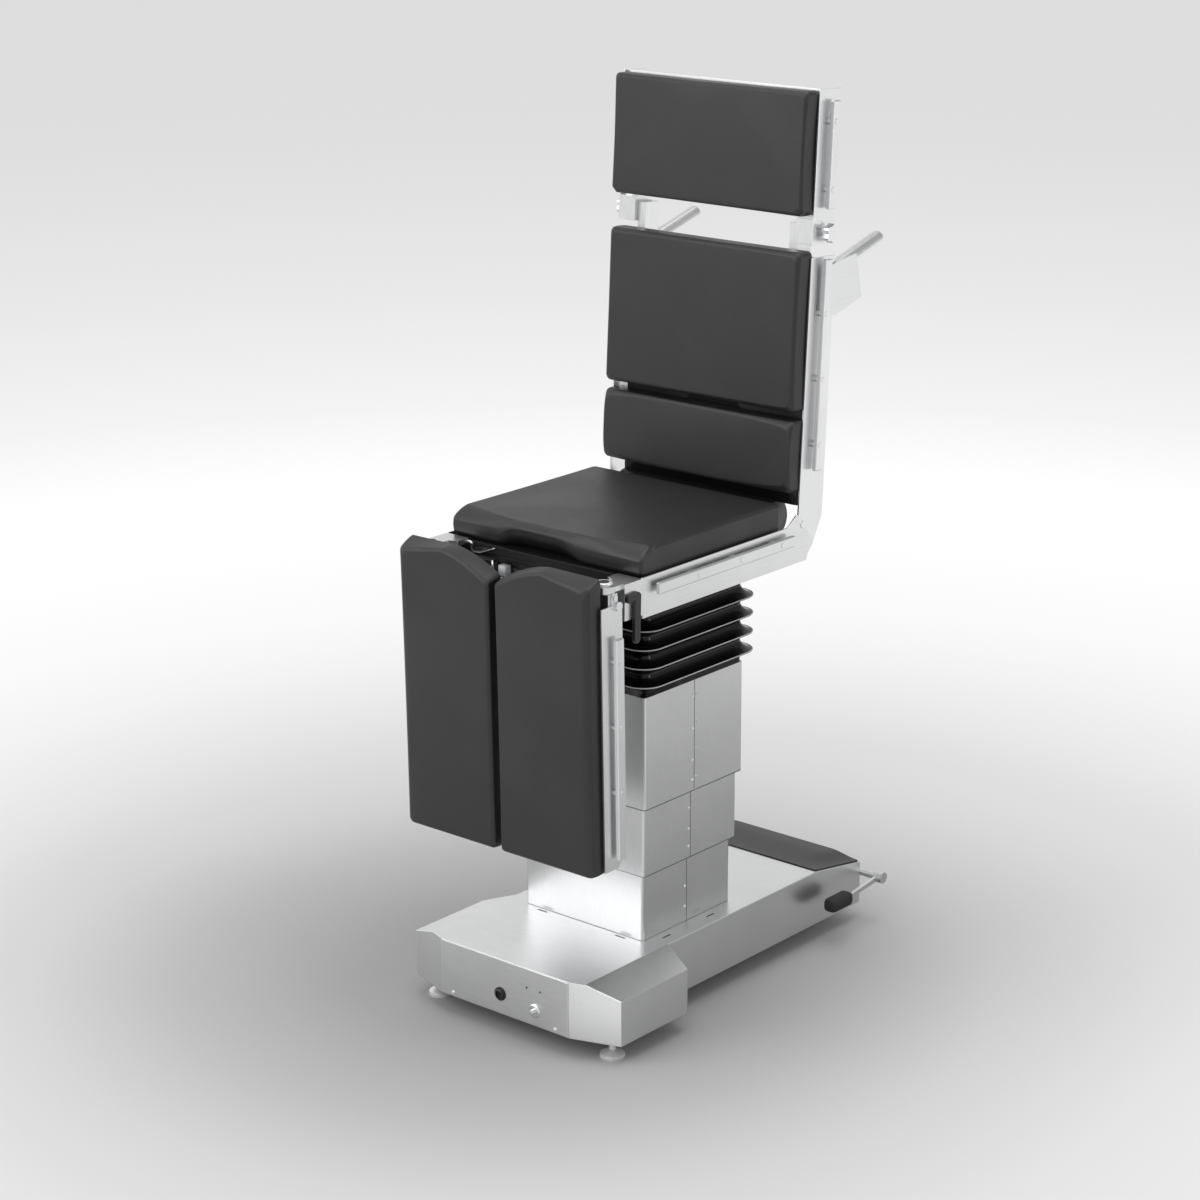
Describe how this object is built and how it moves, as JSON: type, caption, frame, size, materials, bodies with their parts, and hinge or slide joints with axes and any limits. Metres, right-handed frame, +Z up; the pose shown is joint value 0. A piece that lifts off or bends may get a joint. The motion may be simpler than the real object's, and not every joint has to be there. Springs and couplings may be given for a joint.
{
  "type": "operating table",
  "caption": "Operating table on a telescopic column with tilting seat, hinged back and head sections, split swinging leg sections and a braked wheeled base.",
  "frame": {"origin": "middle of the table's footprint, on the floor", "axes": "+Z up, +Y from the leg sections toward the back section, +X to the left hand of someone sitting on it"},
  "size_m": [0.604, 1.0758, 2.0091],
  "materials": {
    "brushed_steel_sheet": "satin",
    "painted_frame": "satin",
    "dark_cover": "matte",
    "black_bellows": "glossy",
    "black_plastic": "glossy",
    "rubber": "matte",
    "caster_tread": "matte",
    "cushion": "matte",
    "bright_steel": "polished"
  },
  "bodies": {
    "base": {"base_cover": "brushed_steel_sheet", "base_chassis": "painted_frame", "front_panel": "brushed_steel_sheet", "power_socket": "black_plastic", "earth_stud": "bright_steel", "rear_cover": "dark_cover", "foot_front_right": "bright_steel", "foot_front_left": "bright_steel", "foot_rear_right": "bright_steel", "foot_rear_left": "bright_steel", "column_cover_lower": "brushed_steel_sheet", "lift_cylinder": "painted_frame", "pedal_bearing": "painted_frame"},
    "brake pedal": {"brake_pedal_bar": "bright_steel", "brake_pedal_rubber_right": "rubber", "brake_pedal_rubber_left": "rubber"},
    "front beam": {"caster_beam_front": "painted_frame"},
    "rear beam": {"caster_beam_rear": "painted_frame"},
    "middle column": {"column_cover_middle": "brushed_steel_sheet"},
    "upper column": {"column_cover_upper": "brushed_steel_sheet", "column_head": "painted_frame", "lift_ram": "bright_steel", "bellows_lower": "black_bellows"},
    "crosshead": {"tilt_crosshead": "painted_frame"},
    "seat": {"seat_board": "painted_frame", "seat_pad": "cushion", "seat_side_plate_right": "brushed_steel_sheet", "seat_side_plate_left": "brushed_steel_sheet", "seat_rail_right": "brushed_steel_sheet", "seat_rail_left": "brushed_steel_sheet", "leg_socket_right": "brushed_steel_sheet", "leg_socket_left": "brushed_steel_sheet", "bellows_upper": "black_bellows"},
    "back": {"back_frame": "brushed_steel_sheet", "back_pad_upper": "cushion", "back_pad_lower": "cushion", "back_rail_right": "brushed_steel_sheet", "back_rail_left": "brushed_steel_sheet", "push_handle_right": "brushed_steel_sheet", "push_handle_left": "brushed_steel_sheet"},
    "head": {"head_frame": "brushed_steel_sheet", "head_pad": "cushion"},
    "leg knuckle right": {"leg_knuckle_right": "brushed_steel_sheet"},
    "leg section right": {"leg_frame_right": "brushed_steel_sheet", "leg_pad_right": "cushion"},
    "lock lever right": {"lock_lever_right": "black_plastic"},
    "head knob right": {"head_knob_right": "bright_steel"},
    "leg knuckle left": {"leg_knuckle_left": "brushed_steel_sheet"},
    "leg section left": {"leg_frame_left": "brushed_steel_sheet", "leg_pad_left": "cushion"},
    "lock lever left": {"lock_lever_left": "black_plastic"},
    "head knob left": {"head_knob_left": "bright_steel"},
    "front fork right": {"caster_fork_front_right": "bright_steel"},
    "front wheel right": {"caster_wheel_front_right": "caster_tread"},
    "front fork left": {"caster_fork_front_left": "bright_steel"},
    "front wheel left": {"caster_wheel_front_left": "caster_tread"},
    "rear fork right": {"caster_fork_rear_right": "bright_steel"},
    "rear wheel right": {"caster_wheel_rear_right": "caster_tread"},
    "rear fork left": {"caster_fork_rear_left": "bright_steel"},
    "rear wheel left": {"caster_wheel_rear_left": "caster_tread"}
  },
  "joints": [
    {"name": "column_lower_stage", "type": "slide", "parent": "base", "child": "middle column", "axis": [0, 0, -1], "range_m": [-0.03, 0.12]},
    {"name": "column_upper_stage", "type": "slide", "parent": "middle column", "child": "upper column", "axis": [0, 0, -1], "range_m": [-0.03, 0.12]},
    {"name": "table_side_tilt", "type": "hinge", "parent": "upper column", "child": "crosshead", "pos_m": [0, -0.08714, 0.85], "axis": [0, 1, 0], "range_deg": [-20, 20], "deforming": ["bellows_lower"]},
    {"name": "table_end_tilt", "type": "hinge", "parent": "crosshead", "child": "seat", "pos_m": [0, -0.08714, 0.85], "axis": [1, 0, 0], "range_deg": [-25, 25], "deforming": ["bellows_upper"]},
    {"name": "back_hinge", "type": "hinge", "parent": "seat", "child": "back", "pos_m": [0, 0.18486, 1.06], "axis": [1, 0, 0], "range_deg": [-100, 3]},
    {"name": "head_hinge", "type": "hinge", "parent": "back", "child": "head", "pos_m": [0, 0.24977, 1.69932], "axis": [1, 0, 0], "range_deg": [-60, 30]},
    {"name": "leg_swivel_right", "type": "hinge", "parent": "seat", "child": "leg knuckle right", "pos_m": [0.2515, -0.45914, 1.042], "axis": [0, 0, 1], "range_deg": [0, 75]},
    {"name": "leg_tilt_right", "type": "hinge", "parent": "leg knuckle right", "child": "leg section right", "pos_m": [0.2515, -0.45914, 1.042], "axis": [-1, 0, 0], "range_deg": [0, 90]},
    {"name": "lock_lever_turn_right", "type": "hinge", "parent": "seat", "child": "lock lever right", "pos_m": [0.277, -0.41814, 1.031], "axis": [1, 0, 0], "range_deg": [0, 30]},
    {"name": "head_knob_turn_right", "type": "hinge", "parent": "head", "child": "head knob right", "pos_m": [0.2725, 0.24977, 1.69932], "axis": [1, 0, 0], "continuous": true},
    {"name": "leg_swivel_left", "type": "hinge", "parent": "seat", "child": "leg knuckle left", "pos_m": [-0.2515, -0.45914, 1.042], "axis": [0, 0, -1], "range_deg": [0, 75]},
    {"name": "leg_tilt_left", "type": "hinge", "parent": "leg knuckle left", "child": "leg section left", "pos_m": [-0.2515, -0.45914, 1.042], "axis": [-1, 0, 0], "range_deg": [0, 90]},
    {"name": "lock_lever_turn_left", "type": "hinge", "parent": "seat", "child": "lock lever left", "pos_m": [-0.277, -0.41814, 1.031], "axis": [1, 0, 0], "range_deg": [0, 30]},
    {"name": "head_knob_turn_left", "type": "hinge", "parent": "head", "child": "head knob left", "pos_m": [-0.2725, 0.24977, 1.69932], "axis": [1, 0, 0], "continuous": true},
    {"name": "brake_pedal_turn", "type": "hinge", "parent": "base", "child": "brake pedal", "pos_m": [0, 0.51986, 0.118], "axis": [1, 0, 0], "range_deg": [0, 18]},
    {"name": "front_beam_drop", "type": "slide", "parent": "base", "child": "front beam", "axis": [0, 0, -1], "range_m": [0, 0.0125]},
    {"name": "front_swivel_right", "type": "hinge", "parent": "front beam", "child": "front fork right", "pos_m": [0.13, -0.30214, 0.08], "axis": [0, 0, 1], "continuous": true},
    {"name": "front_roll_right", "type": "hinge", "parent": "front fork right", "child": "front wheel right", "pos_m": [0.13, -0.28414, 0.0345], "axis": [1, 0, 0], "continuous": true},
    {"name": "front_swivel_left", "type": "hinge", "parent": "front beam", "child": "front fork left", "pos_m": [-0.13, -0.30214, 0.08], "axis": [0, 0, 1], "continuous": true},
    {"name": "front_roll_left", "type": "hinge", "parent": "front fork left", "child": "front wheel left", "pos_m": [-0.13, -0.28414, 0.0345], "axis": [1, 0, 0], "continuous": true},
    {"name": "rear_beam_drop", "type": "slide", "parent": "base", "child": "rear beam", "axis": [0, 0, -1], "range_m": [0, 0.0125]},
    {"name": "rear_swivel_right", "type": "hinge", "parent": "rear beam", "child": "rear fork right", "pos_m": [0.12, 0.27286, 0.08], "axis": [0, 0, 1], "continuous": true},
    {"name": "rear_roll_right", "type": "hinge", "parent": "rear fork right", "child": "rear wheel right", "pos_m": [0.12, 0.29086, 0.0345], "axis": [1, 0, 0], "continuous": true},
    {"name": "rear_swivel_left", "type": "hinge", "parent": "rear beam", "child": "rear fork left", "pos_m": [-0.12, 0.27286, 0.08], "axis": [0, 0, 1], "continuous": true},
    {"name": "rear_roll_left", "type": "hinge", "parent": "rear fork left", "child": "rear wheel left", "pos_m": [-0.12, 0.29086, 0.0345], "axis": [1, 0, 0], "continuous": true}
  ],
  "couplings": [
    {"joint": "column_upper_stage", "follows": "column_lower_stage", "ratio": 1},
    {"joint": "front_beam_drop", "follows": "brake_pedal_turn", "m_per_rad": 0.038197},
    {"joint": "rear_beam_drop", "follows": "brake_pedal_turn", "m_per_rad": 0.038197}
  ]
}
